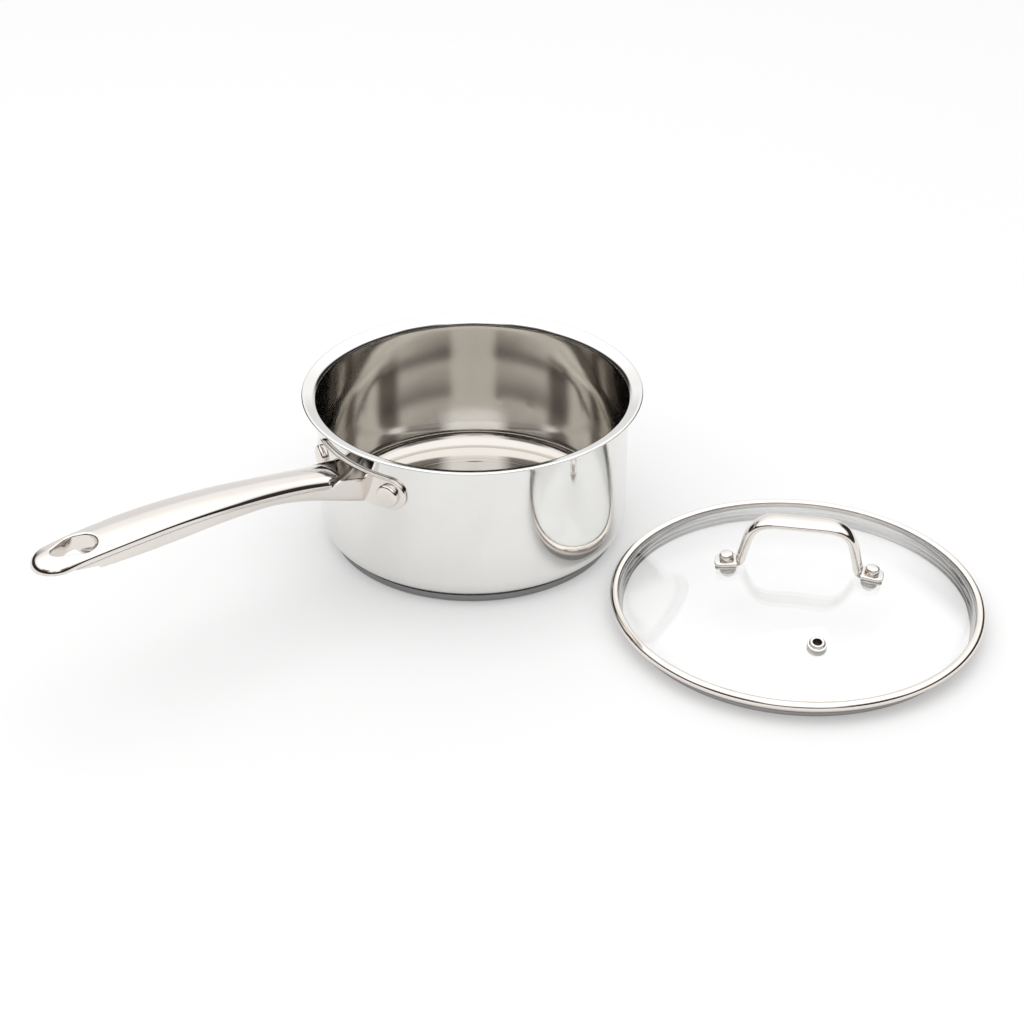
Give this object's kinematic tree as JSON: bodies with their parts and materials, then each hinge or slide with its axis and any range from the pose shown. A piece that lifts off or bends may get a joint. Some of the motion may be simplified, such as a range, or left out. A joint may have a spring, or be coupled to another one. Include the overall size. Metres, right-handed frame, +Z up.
{
  "type": "saucepan with lid",
  "caption": "Stainless steel saucepan with a long riveted hollow handle and layered base, and its domed glass lid with a steel band, bridge handle and steam vent, laid beside it.",
  "frame": {"origin": "centre of the pan's flat underside, on the surface it stands on", "axes": "+Z up along the pan's axis; the pan's handle runs along -X; the lid lies beside the pan on its -Y side"},
  "size_m": [0.4163, 0.3525, 0.0899],
  "materials": {
    "pan_steel": "mirror-polished outside, fine spun brushing inside",
    "polished_steel": "polished stainless steel",
    "satin_base_steel": "satin, concentric brushing",
    "core_aluminium": "as pressed, sealed inside the base",
    "tempered_glass": "clear tempered glass, very slightly green at its edge",
    "seal_silicone": "translucent silicone"
  },
  "bodies": {
    "pan": {"pan_body": "pan_steel", "base_core_disc": "core_aluminium", "base_cap": "satin_base_steel", "handle_bracket": "polished_steel", "handle_top_shell": "polished_steel", "handle_bottom_shell": "polished_steel", "handle_rivet_left": "polished_steel", "handle_rivet_right": "polished_steel"},
    "lid": {"lid_glass": "tempered_glass", "lid_band": "polished_steel", "lid_band_seal": "seal_silicone", "lid_handle": "polished_steel", "vent_eyelet": "polished_steel", "vent_washer": "seal_silicone", "lid_foot_pad_a": "satin_base_steel", "lid_silicone_washer_a": "seal_silicone", "lid_steel_washer_a": "satin_base_steel", "lid_screw_a": "polished_steel", "lid_cap_nut_a": "polished_steel", "lid_foot_pad_b": "satin_base_steel", "lid_silicone_washer_b": "seal_silicone", "lid_steel_washer_b": "satin_base_steel", "lid_screw_b": "polished_steel", "lid_cap_nut_b": "polished_steel"}
  },
  "joints": [
    {"name": "lid_lift", "type": "slide", "parent": "pan", "child": "lid", "axis": [0, 0, 1], "range_m": [0, 0.15]}
  ]
}
